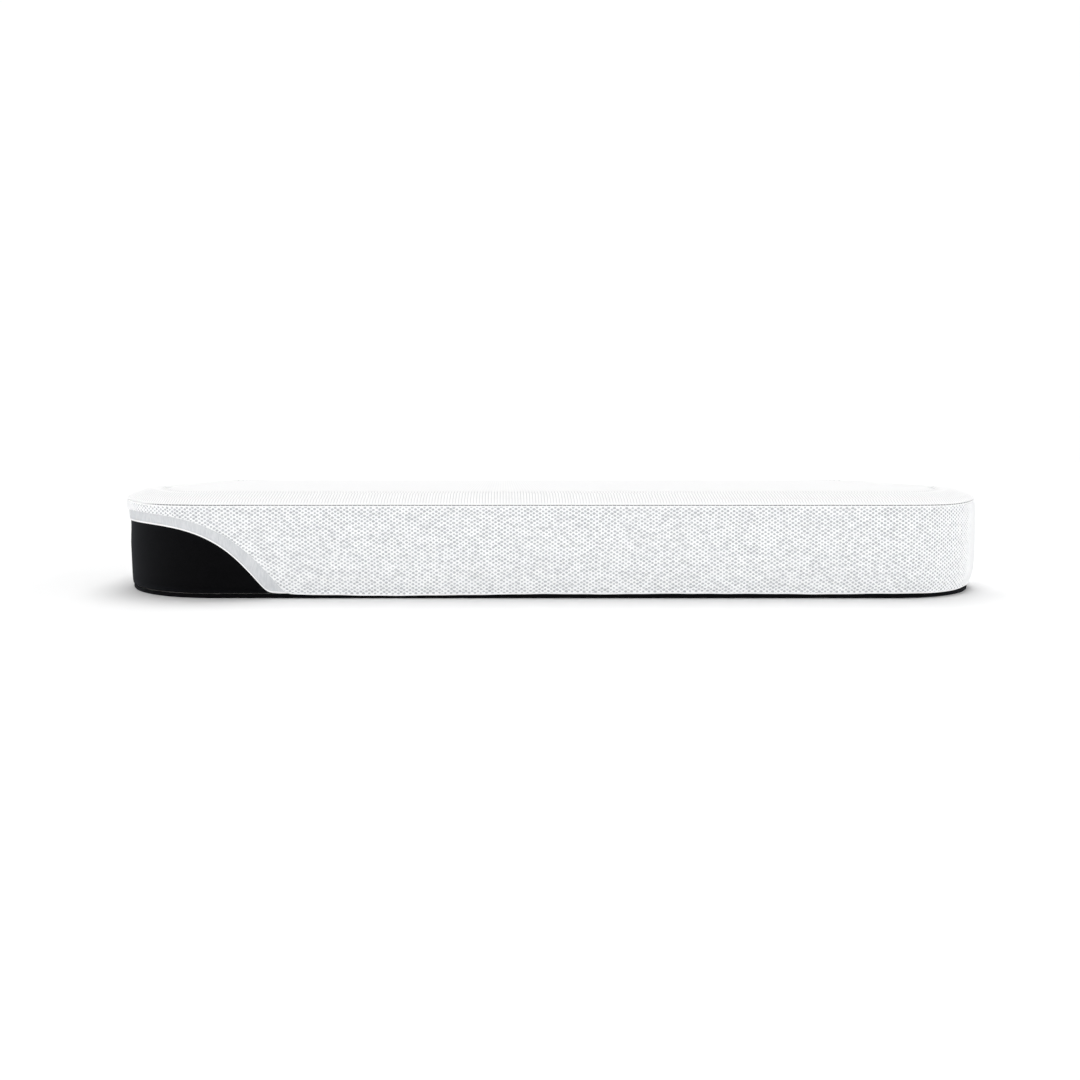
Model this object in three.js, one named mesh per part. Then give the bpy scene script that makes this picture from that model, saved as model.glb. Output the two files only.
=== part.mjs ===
// A foam mattress for a small bed: a two-layer foam core sewn into a black liner, and a
// removable white cover with a ribbed top, a spacer-mesh border and an elastic hem tape.
// The cover's front left corner is drawn up, so that the liner shows below its hem.
//
// Millimetres. The origin is on the floor under the centre, +X runs along the length,
// +Z is up, and the long front side faces -Y.

import * as THREE from 'three';

// Driving dimensions of the whole mattress
const LENGTH = 1200;
const WIDTH = 600;
const CORNER_RADIUS = 165;
const SEAM_HEIGHT = 119;
const CROWN_HEIGHT = 15;
const GAP = 0.3;

// The core: every face of it stays inside this distance from the overall outline,
// and every face of the cover stays outside it, so that the cover lifts straight off.
const CORE_INSET = 5.1;
const LINER_THICKNESS = 1;
const LINER_SEAM_HEIGHT = 7;
const LINER_SEAM_RADIUS = 0.8;
const BASE_TUCK = 5;
const CORE_TOP = 117.7;
const MEMORY_LAYER_THICKNESS = 35;
const FOAM_EDGE = 4;

// The cover
const BORDER_INNER_INSET = 3.5;
const BORDER_TOP_INSET = 2.2;
const BORDER_TOP_THICKNESS = 2.4;
const BORDER_BULGE_HEIGHT = 60;
const HEM_HEIGHT = 5;
const HEM_ROLL = 2.4;
const HEM_ROLL_HEIGHT = 12;
const SEAM_RADIUS = 0.9;
const SEAM_RECESS = 1.4;
const TOP_THICKNESS = 1.6;
const TOP_EDGE_INSET = 2.4;
const TOP_SHOULDER = 60;
const BACKING_THICKNESS = 0.5;
const BORDER_JOIN_Y = 110;
const BORDER_JOIN_GAP = 0.6;
const TOP_EDGE_HEIGHT = SEAM_HEIGHT + SEAM_RADIUS + GAP;
const TOP_RISE = SEAM_HEIGHT + CROWN_HEIGHT - TOP_EDGE_HEIGHT;

// The hem tape, and how far its free edge and the border's edge above it are drawn up
// round the front left corner: each leaves the hem at a place, climbs and levels off.
const TAPE_WIDTH = 18;
const TAPE_LAP = 2;
const TAPE_THICKNESS = 1;
const TAPE_INSET = 4.8;
const TAPE_LIFT = { startX: -367, height: 89, reach: 71 };
const BORDER_LIFT = { startX: -343, height: 105, reach: 84 };
const LIFT_PEAK_ANGLE = THREE.MathUtils.degToRad(62);

// Fineness of the faceting
const CORNER_STEPS = 12;
const SHOULDER_STEPS = 5;
const ROUND_STEPS = 8;
const LIFT_STEP = 8;

// Lengths along the outline. Distance along it starts at the middle of the front side
// and runs towards -X, round the front left corner, the back and home again.
const HALF_FRONT = LENGTH / 2 - CORNER_RADIUS;
const SIDE = WIDTH - 2 * CORNER_RADIUS;
const CORNER_ARC = CORNER_RADIUS * Math.PI / 2;
const PERIMETER = 4 * HALF_FRONT + 2 * SIDE + 4 * CORNER_ARC;

const LEFT_CORNER_START = HALF_FRONT;
const LEFT_SIDE_START = LEFT_CORNER_START + CORNER_ARC;
const RIGHT_SIDE_START = PERIMETER - LEFT_SIDE_START - SIDE;
const SIDE_TO_JOIN = WIDTH / 2 - CORNER_RADIUS + BORDER_JOIN_Y;
const LEFT_JOIN = LEFT_SIDE_START + SIDE_TO_JOIN;
const RIGHT_JOIN = PERIMETER - LEFT_JOIN;

const LIFT_PEAK = LEFT_CORNER_START + CORNER_RADIUS * LIFT_PEAK_ANGLE;

// The four quarter turns of the outline: where each starts, its centre and its first normal
const TURNS = [
  { start: LEFT_CORNER_START, centre: [-HALF_FRONT, -SIDE / 2], normal: -Math.PI / 2 },
  { start: LEFT_SIDE_START + SIDE, centre: [-HALF_FRONT, SIDE / 2], normal: -Math.PI },
  { start: RIGHT_SIDE_START - CORNER_ARC, centre: [HALF_FRONT, SIDE / 2], normal: -Math.PI * 1.5 },
  { start: RIGHT_SIDE_START + SIDE, centre: [HALF_FRONT, -SIDE / 2], normal: -Math.PI * 2 },
];

// A point of the outline moved inwards by inset, at a height
function outlinePoint(distance, inset, height) {
  const along = ((distance % PERIMETER) + PERIMETER) % PERIMETER;
  const reached = TURNS.filter((turn) => along >= turn.start);
  const turn = reached.length > 0 ? reached[reached.length - 1] : TURNS[3];
  const afterStart = (along - turn.start + PERIMETER) % PERIMETER;
  const turned = Math.min(afterStart, CORNER_ARC);
  const straight = afterStart - turned;
  const normal = turn.normal - turned / CORNER_RADIUS;
  const radius = CORNER_RADIUS - inset;
  const x = turn.centre[0] + radius * Math.cos(normal) + straight * Math.sin(normal);
  const y = turn.centre[1] + radius * Math.sin(normal) - straight * Math.cos(normal);
  return new THREE.Vector3(x, y, height);
}

// Distances along the outline where every piece has a vertical row of vertices
function cornerStations() {
  const stations = [];
  for (const turn of TURNS) {
    for (let step = 0; step <= CORNER_STEPS; step += 1) {
      stations.push(turn.start + CORNER_ARC * step / CORNER_STEPS);
    }
  }
  return stations;
}

// The same distances with more of them where the hem is drawn up
function hemStations() {
  const stations = cornerStations();
  for (let along = -BORDER_LIFT.startX; along < LEFT_CORNER_START - 1; along += LIFT_STEP) {
    stations.push(along);
    stations.push(2 * LIFT_PEAK - along);
  }
  return stations.sort((first, second) => first - second);
}

// The stations strictly between two distances, with both distances added as ends
function stationsBetween(from, to) {
  const inside = [];
  for (const turn of [-PERIMETER, 0]) {
    for (const station of hemStations()) {
      if (station + turn > from + 1 && station + turn < to - 1) {
        inside.push(station + turn);
      }
    }
  }
  return [from, ...inside, to];
}

// A closed body from rows of vertices: each row is a loop, and each loop is joined to the next
function skin(rows, ends) {
  const positions = rows.flat();
  const index = [];
  const count = rows[0].length;
  const links = ends === 'ring' ? rows.length : rows.length - 1;
  for (let row = 0; row < links; row += 1) {
    const here = row * count;
    const next = ((row + 1) % rows.length) * count;
    for (let point = 0; point < count; point += 1) {
      const after = (point + 1) % count;
      index.push(here + point, next + after, next + point);
      index.push(here + point, here + after, next + after);
    }
  }
  if (ends === 'capped') {
    const flat = (row) => rows[row].map((point) => new THREE.Vector2(point.x, point.y));
    capWith(index, flat(0), 0, true);
    capWith(index, flat(rows.length - 1), (rows.length - 1) * count, false);
  }
  if (ends === 'strip') {
    capWithSection(index, count, 0, true);
    capWithSection(index, count, (rows.length - 1) * count, false);
  }
  const geometry = new THREE.BufferGeometry();
  geometry.setAttribute('position', new THREE.Float32BufferAttribute(
    positions.flatMap((point) => [point.x, point.y, point.z]), 3));
  geometry.setIndex(index);
  geometry.computeVertexNormals();
  return geometry;
}

// A level cap over one whole loop, whose outline is given in plan
function capWith(index, outline, first, facesDown) {
  for (const [a, b, c] of THREE.ShapeUtils.triangulateShape(outline, [])) {
    const clockwise = outline[b].clone().sub(outline[a]).cross(outline[c].clone().sub(outline[a])) < 0;
    const triangle = clockwise === facesDown ? [a, b, c] : [a, c, b];
    index.push(...triangle.map((corner) => first + corner));
  }
}

// The cap of a strip's end: its section has as many points up the outside as down the inside
function capWithSection(index, count, first, isStart) {
  for (let step = 0; step < count / 2 - 1; step += 1) {
    const outer = first + step;
    const inner = first + count - 1 - step;
    const triangles = [[outer, outer + 1, inner], [outer + 1, inner - 1, inner]];
    for (const triangle of triangles) {
      index.push(...(isStart ? triangle.reverse() : triangle));
    }
  }
}

// A body stacked from level loops round the outline: profile holds [inset, height] pairs
// from the underside's edge up to the top face's edge.
function stacked(profile) {
  const stations = cornerStations().reverse();
  const rows = profile.map(([inset, height]) => (
    stations.map((along) => outlinePoint(along, inset, height))
  ));
  return skin(rows, 'capped');
}

// A band that follows the outline: sectionAt gives [inset, height] pairs at each station,
// up the outside and then down the inside.
function band(stations, sectionAt, ends) {
  const rows = stations.map((along) => (
    sectionAt(along).map(([inset, height]) => outlinePoint(along, inset, height))
  ));
  return skin(rows, ends);
}

// Height that an edge is drawn up to: it climbs, levels off and falls alike on both sides
function lifted(along, lift) {
  const fromPeak = Math.abs(along - LIFT_PEAK);
  const climbed = Math.max(0, LIFT_PEAK + lift.startX - fromPeak);
  return lift.height * Math.tanh(climbed / lift.reach);
}

function borderBottom(along) {
  return HEM_HEIGHT + lifted(along, BORDER_LIFT);
}

// The border's outer face: drawn in at the seam and at the rolled hem, full between them
function borderInset(height, aboveEdge) {
  const upper = Math.max(0, (height - BORDER_BULGE_HEIGHT) / (SEAM_HEIGHT - BORDER_BULGE_HEIGHT));
  const lower = Math.max(0, 1 - aboveEdge / HEM_ROLL_HEIGHT);
  return Math.min(BORDER_TOP_INSET * upper ** 2 + HEM_ROLL * lower ** 2, BORDER_TOP_INSET + 0.5);
}

function borderSection(along) {
  const bottom = borderBottom(along);
  const top = SEAM_HEIGHT - SEAM_RADIUS - GAP;
  const levels = [0, 0.05, 0.14, 0.45, 0.75, 1];
  const outside = levels.map((level) => {
    const height = THREE.MathUtils.lerp(bottom, top, level);
    return [borderInset(height, height - bottom), height];
  });
  const innerTop = [BORDER_TOP_INSET + BORDER_TOP_THICKNESS, top];
  const inside = [...levels].reverse().slice(1).map((level) => (
    [BORDER_INNER_INSET, THREE.MathUtils.lerp(bottom, top, level)]
  ));
  return [...outside, innerTop, ...inside];
}

function tapeSection(along) {
  const bottom = HEM_HEIGHT + TAPE_THICKNESS + lifted(along, TAPE_LIFT);
  const top = Math.max(bottom + TAPE_WIDTH, borderBottom(along) + TAPE_LAP);
  const outer = TAPE_INSET - TAPE_THICKNESS;
  return [[outer, bottom], [outer, top], [TAPE_INSET, top], [TAPE_INSET, bottom]];
}

// A round cord that follows the outline
function cordSection(inset, height, radius) {
  const section = [];
  for (let step = 0; step < ROUND_STEPS; step += 1) {
    const angle = 2 * Math.PI * (step + 0.5) / ROUND_STEPS - Math.PI / 2;
    section.push([inset - radius * Math.cos(angle), height + radius * Math.sin(angle)]);
  }
  return () => section;
}

// The crowned shoulder of the top, from its edge to where it turns level
function shoulder(edgeInset, edgeHeight, rise) {
  const profile = [];
  for (let step = 0; step <= SHOULDER_STEPS; step += 1) {
    const inset = edgeInset + TOP_SHOULDER * step / SHOULDER_STEPS;
    profile.push([inset, edgeHeight + rise * Math.sin(Math.PI / 2 * step / SHOULDER_STEPS)]);
  }
  return profile;
}

function supportFoam() {
  const inset = CORE_INSET + LINER_THICKNESS + GAP;
  const bottom = LINER_THICKNESS + GAP;
  const top = CORE_TOP - LINER_THICKNESS - MEMORY_LAYER_THICKNESS - 2 * GAP;
  return stacked([
    [inset + BASE_TUCK + 1, bottom],
    [inset + BASE_TUCK / 3, bottom + FOAM_EDGE],
    [inset, bottom + 3 * FOAM_EDGE],
    [inset, top],
  ]);
}

function memoryFoamLayer() {
  const inset = CORE_INSET + LINER_THICKNESS + GAP;
  const top = CORE_TOP - LINER_THICKNESS - GAP;
  const bottom = top - MEMORY_LAYER_THICKNESS;
  return stacked([
    [inset, bottom],
    [inset, top - FOAM_EDGE],
    [inset + FOAM_EDGE / 4, top - FOAM_EDGE / 4],
    [inset + FOAM_EDGE, top],
  ]);
}

function linerTopPanel() {
  const inset = CORE_INSET + LINER_THICKNESS + GAP;
  return stacked([
    [inset, CORE_TOP - LINER_THICKNESS],
    [inset, CORE_TOP],
  ]);
}

function linerBorder() {
  const bottom = LINER_SEAM_HEIGHT + LINER_SEAM_RADIUS + GAP;
  const inner = CORE_INSET + LINER_THICKNESS;
  return band(cornerStations(), () => [
    [CORE_INSET + BASE_TUCK / 8, bottom],
    [CORE_INSET, bottom + 2 * FOAM_EDGE],
    [CORE_INSET, CORE_TOP],
    [inner, CORE_TOP],
    [inner, bottom + 2 * FOAM_EDGE],
    [inner + BASE_TUCK / 8, bottom],
  ], 'ring');
}

// The underside, whose rim turns up round the foam's rounded lower edge to meet the seam
function linerBasePanel() {
  const rim = LINER_SEAM_HEIGHT - LINER_SEAM_RADIUS - GAP;
  const outside = [
    [CORE_INSET + BASE_TUCK, 0],
    [CORE_INSET + BASE_TUCK / 2, rim / 5],
    [CORE_INSET + BASE_TUCK / 4, rim],
  ];
  const inside = [
    [CORE_INSET + BASE_TUCK / 4 + LINER_THICKNESS, rim],
    [CORE_INSET + BASE_TUCK / 2 + LINER_THICKNESS, rim / 2],
    [CORE_INSET + BASE_TUCK + LINER_THICKNESS, LINER_THICKNESS],
  ];
  return stacked([...outside, ...inside]);
}

function linerBaseSeam() {
  const inset = CORE_INSET + LINER_SEAM_RADIUS + BASE_TUCK / 8;
  return band(cornerStations(), cordSection(inset, LINER_SEAM_HEIGHT, LINER_SEAM_RADIUS), 'ring');
}

function topPanel() {
  const outside = shoulder(TOP_EDGE_INSET, TOP_EDGE_HEIGHT, TOP_RISE);
  const inside = shoulder(TOP_EDGE_INSET + TOP_THICKNESS, TOP_EDGE_HEIGHT, TOP_RISE - TOP_THICKNESS);
  return stacked([...inside.reverse(), ...outside]);
}

function topWadding() {
  const inset = TOP_EDGE_INSET + 2 * TOP_THICKNESS;
  return stacked(shoulder(inset, TOP_EDGE_HEIGHT, TOP_RISE - TOP_THICKNESS - 2 * GAP));
}

function topBacking() {
  const inset = BORDER_TOP_INSET + SEAM_RECESS + SEAM_RADIUS + GAP;
  const top = TOP_EDGE_HEIGHT - GAP;
  return stacked([
    [inset, top - BACKING_THICKNESS],
    [inset, top],
  ]);
}

function edgeSeam() {
  const inset = BORDER_TOP_INSET + SEAM_RECESS;
  return band(cornerStations(), cordSection(inset, SEAM_HEIGHT, SEAM_RADIUS), 'ring');
}

function meshBorderFront() {
  const from = RIGHT_JOIN - PERIMETER + BORDER_JOIN_GAP / 2;
  return band(stationsBetween(from, LEFT_JOIN - BORDER_JOIN_GAP / 2), borderSection, 'strip');
}

function meshBorderBack() {
  const from = LEFT_JOIN + BORDER_JOIN_GAP / 2;
  return band(stationsBetween(from, RIGHT_JOIN - BORDER_JOIN_GAP / 2), borderSection, 'strip');
}

function hemTape() {
  return band(hemStations(), tapeSection, 'ring');
}

function cloth(color, roughness) {
  return new THREE.MeshStandardMaterial({ color, roughness, metalness: 0 });
}

function addPiece(group, name, geometry, material) {
  const piece = new THREE.Mesh(geometry, material);
  piece.name = name;
  group.add(piece);
}

const core = new THREE.Group();
addPiece(core, 'support_foam', supportFoam(), cloth(0xe9e6df, 0.95));
addPiece(core, 'memory_foam_layer', memoryFoamLayer(), cloth(0xf4f0e4, 0.95));
addPiece(core, 'liner_top_panel', linerTopPanel(), cloth(0x0b0b0c, 0.8));
addPiece(core, 'liner_border', linerBorder(), cloth(0x0b0b0c, 0.8));
addPiece(core, 'liner_base_panel', linerBasePanel(), cloth(0x121213, 0.7));
addPiece(core, 'liner_base_seam', linerBaseSeam(), cloth(0x1c1c1e, 0.85));

const cover = new THREE.Group();
addPiece(cover, 'top_panel', topPanel(), cloth(0xfbfbfb, 0.9));
addPiece(cover, 'top_wadding', topWadding(), cloth(0xffffff, 1));
addPiece(cover, 'top_backing', topBacking(), cloth(0xf2f2f2, 0.95));
addPiece(cover, 'edge_seam', edgeSeam(), cloth(0xf0f0f0, 0.9));
addPiece(cover, 'mesh_border_front', meshBorderFront(), cloth(0xf4f5f7, 0.85));
addPiece(cover, 'mesh_border_back', meshBorderBack(), cloth(0xf4f5f7, 0.85));
addPiece(cover, 'hem_tape', hemTape(), cloth(0xcfd1d3, 0.8));

const mattress = new THREE.Group();
mattress.add(core, cover);

export default mattress;
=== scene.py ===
"""A small foam mattress in its removable cover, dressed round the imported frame.

The frame gives the overall box, the seam, the hem and the liner. This script makes the
knit top, the spacer mesh, the tape, the stitching, the liner and the foam in their places.
The long front side faces -Y, and the cover's front left corner is drawn up.
"""

import math

import bpy
import numpy as np
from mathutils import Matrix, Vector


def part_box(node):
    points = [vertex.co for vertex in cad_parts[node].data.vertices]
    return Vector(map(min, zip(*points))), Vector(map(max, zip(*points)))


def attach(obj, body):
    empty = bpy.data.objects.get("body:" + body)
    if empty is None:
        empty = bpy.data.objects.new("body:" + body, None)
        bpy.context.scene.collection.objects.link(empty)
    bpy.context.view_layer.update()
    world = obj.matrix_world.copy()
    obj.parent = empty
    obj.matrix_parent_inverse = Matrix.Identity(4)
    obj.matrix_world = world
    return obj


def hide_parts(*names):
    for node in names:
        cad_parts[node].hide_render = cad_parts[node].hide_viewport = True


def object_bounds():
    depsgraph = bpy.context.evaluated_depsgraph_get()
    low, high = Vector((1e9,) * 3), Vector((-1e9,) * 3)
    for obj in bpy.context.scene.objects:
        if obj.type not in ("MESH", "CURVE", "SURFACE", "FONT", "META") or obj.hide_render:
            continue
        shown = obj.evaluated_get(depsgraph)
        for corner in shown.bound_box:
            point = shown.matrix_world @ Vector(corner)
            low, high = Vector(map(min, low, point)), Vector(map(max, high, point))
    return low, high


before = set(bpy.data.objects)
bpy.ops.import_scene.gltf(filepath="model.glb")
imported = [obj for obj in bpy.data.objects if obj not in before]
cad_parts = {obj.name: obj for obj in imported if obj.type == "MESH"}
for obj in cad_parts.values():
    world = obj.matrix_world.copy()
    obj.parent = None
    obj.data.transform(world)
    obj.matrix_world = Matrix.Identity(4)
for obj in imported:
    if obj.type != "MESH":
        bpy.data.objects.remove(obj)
CAD_LOW, CAD_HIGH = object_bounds()

# All lengths below are millimetres. Piece.build turns them into metres.
MM = 0.001
HALF_LENGTH = CAD_HIGH.x / MM
HALF_WIDTH = CAD_HIGH.y / MM
SEAM_HEIGHT = sum(corner.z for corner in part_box("edge_seam")) / 2 / MM
HEM_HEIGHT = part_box("mesh_border_front")[0].z / MM
CORE_INSET = HALF_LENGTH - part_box("liner_border")[1].x / MM
CORE_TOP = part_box("liner_border")[1].z / MM
CREST = CAD_HIGH.z / MM

# The outline, as distances along it from the middle of the front side towards -X
CORNER_RADIUS = 165
CORNER_ARC = CORNER_RADIUS * math.pi / 2
HALF_FRONT = HALF_LENGTH - CORNER_RADIUS
HALF_SIDE = HALF_WIDTH - CORNER_RADIUS
PERIMETER = 4 * HALF_FRONT + 4 * HALF_SIDE + 4 * CORNER_ARC
LEFT_SIDE_START = HALF_FRONT + CORNER_ARC
RIGHT_SIDE_START = PERIMETER - LEFT_SIDE_START - 2 * HALF_SIDE
JOIN_Y = 110
JOIN_GAP = 0.6
LEFT_JOIN = LEFT_SIDE_START + HALF_SIDE + JOIN_Y
RIGHT_JOIN = PERIMETER - LEFT_JOIN
TURN_STARTS = np.array([
    HALF_FRONT,
    LEFT_SIDE_START + 2 * HALF_SIDE,
    RIGHT_SIDE_START - CORNER_ARC,
    RIGHT_SIDE_START + 2 * HALF_SIDE,
])
TURN_CENTRES = np.array([
    (-HALF_FRONT, -HALF_SIDE),
    (-HALF_FRONT, HALF_SIDE),
    (HALF_FRONT, HALF_SIDE),
    (HALF_FRONT, -HALF_SIDE),
])
TURN_NORMALS = -math.pi / 2 * np.array([1, 2, 3, 4])

# The rise of the short ends: it fades over these insets and starts within the corner turns
END_RAISE = 4.5
END_RAISE_FADES = (15, 100)
END_RAISE_FROM = math.radians(22)
END_RAISE_TO = math.radians(68)

# The hem drawn up round the front left corner: the tape's edge and the border's edge.
# Each starts at a distance along the outline and climbs over its reach towards its height.
TAPE_LIFT = {"start": 367, "height": 89, "reach": 71}
BORDER_LIFT = {"start": 343, "height": 105, "reach": 84}
LIFT_BEND = 6
LIFT_FADES = (420, 340)
LIFT_PEAK = HALF_FRONT + CORNER_RADIUS * math.radians(62)

# Gentle waves. Each has its reach, its start in radians, and the distance along the outline and
# the height over which it turns by a radian.
LEVEL = math.inf
HEM_WAVES = ((1, 0, 41, LEVEL), (0.6, 1, 23, LEVEL), (0.4, 0, 8.3, LEVEL))
NET_PULLED_ALONG = ((0.45, 0, 83, 17), (0.25, 0, -29, 7))
NET_PULLED_UP = ((0.5, 0, 47, LEVEL), (0.3, 0, 19, 31))
WALL_WAVES = ((0.25, 0, 37, LEVEL), (0.25, 0, 23, 19))

# The rest of the hem
HEM_CLEARANCE = 0.2
HEM_WAVE = 0.3
HEM_WAVE_FADE = 10
HEM_SLANT = 1.0
HEM_SLANT_OVER = (-200, 60)
HEM_RAISE = 4.5

# The spacer-mesh border
NET_PITCH = PERIMETER / 442
NET_ROW = 2.43
NET_POINT = 2.66
NET_FLAT = NET_PITCH / 2 - NET_POINT
HOLE_POINT = 1.95
HOLE_FLAT = 0.95
HOLE_HALF_HEIGHT = 1.25
HOLE_SIZES = (0.82, 1.16)
HOLE_DRIFT = 0.25
HOLE_DEPTH = 1.0
HOLE_DEEPENS_OVER = 1.2
HOLE_CLEARANCE = 0.2
SMALLEST_CELL_AREA = 0.05
SMALLEST_FACE_AREA = 0.004
NET_MARGIN = 1.5
FOLD_WIDTH = 1.9
FOLD_FADE = 8
CUT_WIDTH = 0.5
BORDER_BULGE = 1.2
BORDER_TOP_INSET = 2.6
BORDER_INNER_INSET = 3.5
BORDER_HEM_INSET = 2.9
LIFTED_INSET = 1.0
LIFTED_FULLY = 80
BULGE_HEIGHT = 48
HEM_ROLL_HEIGHT = 26
SEAM_GAP = 0.4
BORDER_STEP = 3
TURNED_IN = 0.4
BACK_SHARES = (0.97, 0.75, 0.5, 0.25, 0.06)
BACK_LEANS_IN = 0.9

# The core
BARE_CORE_BULGE = 1.4
BARE_CORE_OVER = (3, 35)
CORE_STEP = 6
WALL_UNEVENNESS = 0.35
WALL_ROWS = 15
WALL_TUCK = 0.6
WALL_TUCK_HEIGHT = 8
CLOTH_THICKNESS = 1
BASE_RIM_INSET = CORE_INSET + 0.3
BASE_ROUND = 1.8
FOAM_CLEARANCE = 0.2
FOAM_TOP_ROUND = 2
BASE_STITCH = {"pitch": 3, "length": 3.75, "radius": 0.75, "inset": 0.8, "rise": 0.5, "points": 4}
BASE_CORD = {"inset": 0.3, "radius": 1}

# Rings of faces over a level cap, as shares of the way out from its middle
PANEL_RINGS = (0.002, 0.25, 0.5, 0.75, 1)
WADDING_RINGS = (0.002, 0.35, 0.7, 1)
FOAM_RINGS = (0.002, 0.2, 0.4, 0.6, 0.8, 1)
PANEL_EDGE_ROUND = 0.2
PANEL_STEP = 8
WADDING_STEP = 10

# The hem tape
TAPE_WIDTH = 18
TAPE_LAP = 2
TAPE_OUTER = 3.8
TAPE_INNER = 4.8
TAPE_RIB = 2.1
TAPE_RIB_HEIGHT = 0.16
TAPE_RIB_STEPS = 4
TAPE_SWELL = 0.25
TAPE_ROWS = 9
TAPE_BACK = 0.1
TAPE_STEP = 6
TAPE_RIBS_BEYOND = 30
TAPE_HEM_GAP = 1
TAPE_TUCK = 2
TAPE_TUCKS_OVER = (15, 60)
TAPE_BINDING = 2.2

# The quilted top
RIB_PITCH = 3.75
RIB_HEIGHT = 0.7
RIB_SHARPNESS = 2
RIBS_START = (4, 5.2)
FIELD_RIB_HEIGHT = 0.12
RIB_STEPS = 4
QUILT_LINE = 51
QUILT_DIP = 0.9
QUILT_DIP_WIDTH = 2.0
FIELD_DROP = 0.4
FIELD_DROP_WIDTH = 6
FIELD_ROWS = 25
ROLL_FULLNESS = 0.75
TOP_EDGE_INSET = 3
TOP_EDGE_HEIGHT = 122
LIP_STEP = 2.2
LIP_PROFILE = [(4.6, 119.5), (3.0, 119.9), (2.3, 120.7), (2.4, 121.5), (3.4, 122.3)]

# The seam's gap closes over part of the first corner, between these degrees of its turn
SEAM_CLOSES = 1.2
CLOSES_OVER = (24, 40)
OPENS_OVER = (72, 88)

# How far the top swells, and what is sewn in and laid under it
SWELL_LIMIT = 2.2
SWELL_COLUMNS = 101
SWELL_STEPS = 20
LIP_WIDTH = 7
FIELD_INSETS = (80, 110, 150, 200, 250)
WADDING_DEPTH = 1.4
WADDING_LOW = [(6.2, 120.6), (6, 121)]
WADDING_INSETS = (6.5, 9, 14, 20, 28, 36, 43, 48, 51, 54, 60, 75)

# Stitches: distance between them, their length, the thread's radius and how far it sinks
QUILT_STITCH = {"pitch": 4.4, "length": 3.1, "radius": 0.42, "proud": 0.35, "sink": 0.5}
EDGE_STITCH = {"pitch": 5.2, "length": 0.9, "radius": 0.42, "inset": 3.1, "sink": 0.9}
EDGE_STITCH_RISE = 2.2
EDGE_STITCH_BELOW = 0.45
EDGE_STITCH_DRIFT = 0.6
EDGE_CORD_INSET = 4.2
EDGE_CORD_RADIUS = 0.9
STITCH_POINTS = 5
CORD_SIDES = 8

# A wave pattern of scale 1 repeats over this many units
WAVE_PERIOD = math.pi / 10

# Camera and lights, in metres and degrees; each light has its power, azimuth, elevation and breadth
CAMERA_PLACE = (-0.06585, -1.29805, 0.17935)
CAMERA_TILT = 5.93
CAMERA_LENS = 26.49
CAMERA_SENSOR = 36
CAMERA_SHIFT = 0.0343
CAMERA_CLIP = (0.05, 50)
FLOOR_SIZE = 60
SKY_WHITE = 1.02
SKY_DIM = 0.1
SKY_WHITE_BELOW = 30
SKY_DIM_ABOVE = 45
LIGHTS = {
    "overhead_light": (1.75, 180, 70, 42),
    "front_light": (0.97, 0, 14, 60),
    "left_light": (0.4, -80, 15, 60),
    "right_light": (0.4, 80, 15, 60),
}


# ---- shape of the outline ----

def turns(along):
    """The quarter turn that each distance follows, how far it has turned and the run after it."""
    along = np.mod(along, PERIMETER)
    index = np.searchsorted(TURN_STARTS, along, side="right") - 1
    after = np.mod(along - TURN_STARTS[index], PERIMETER)
    turned = np.minimum(after, CORNER_ARC)
    return index, turned, after - turned


def on_outline(along, inset, height):
    """Points at distances along the outline, moved inwards by inset, at a height."""
    along, inset, height = np.broadcast_arrays(along, inset, height)
    index, turned, straight = turns(along)
    normal = TURN_NORMALS[index] - turned / CORNER_RADIUS
    radius = CORNER_RADIUS - inset
    x = TURN_CENTRES[index, 0] + radius * np.cos(normal) + straight * np.sin(normal)
    y = TURN_CENTRES[index, 1] + radius * np.sin(normal) - straight * np.cos(normal)
    return np.stack([x, y, height], axis=-1)


def inset_of(x, y):
    """How far inside the outline each point of the plan is."""
    over_x = np.abs(x) - HALF_FRONT
    over_y = np.abs(y) - HALF_SIDE
    outside = np.hypot(np.maximum(over_x, 0), np.maximum(over_y, 0))
    return CORNER_RADIUS - outside - np.minimum(np.maximum(over_x, over_y), 0)


def smooth(value, low, high):
    """0 below low, 1 above high and an even curve between them."""
    share = np.clip((value - low) / (high - low), 0, 1)
    return share * share * (3 - 2 * share)


def end_raise_at(x, y):
    """The seam stands a little higher at the short ends; the rise fades away from the edge."""
    over_x = np.maximum(np.abs(x) - HALF_FRONT, 0)
    over_y = np.maximum(np.abs(y) - HALF_SIDE, 0)
    turned = np.arctan2(over_x, over_y + 1e-9)
    fading = 1 - smooth(inset_of(x, y), *END_RAISE_FADES)
    return END_RAISE * smooth(turned, END_RAISE_FROM, END_RAISE_TO) * fading


def end_raise(along):
    """How much higher the seam stands at distances along the outline."""
    edge = on_outline(along, 0, 0)
    return end_raise_at(edge[..., 0], edge[..., 1])


def hem_raise(along):
    """The hem stands a little higher round the right end, away from the drawn-up corner."""
    at_right = on_outline(along, 0, 0)[..., 0] > 0
    return HEM_RAISE * at_right * end_raise(along) / END_RAISE


def waves(terms, along, height=0):
    """The sum of some gentle waves at distances along the outline and heights."""
    return sum(reach * np.sin(along / length + height / rise + start)
               for reach, start, length, rise in terms)


def lifted(along, lift):
    """Height that an edge of the hem is drawn up to, starting with a rounded bend."""
    climbed = LIFT_PEAK - lift["start"] - np.abs(along - LIFT_PEAK)
    climbed = (climbed + np.hypot(climbed, LIFT_BEND)) / 2
    climbed = climbed * smooth(np.abs(along - LIFT_PEAK), *LIFT_FADES)
    return lift["height"] * np.tanh(climbed / lift["reach"])


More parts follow.
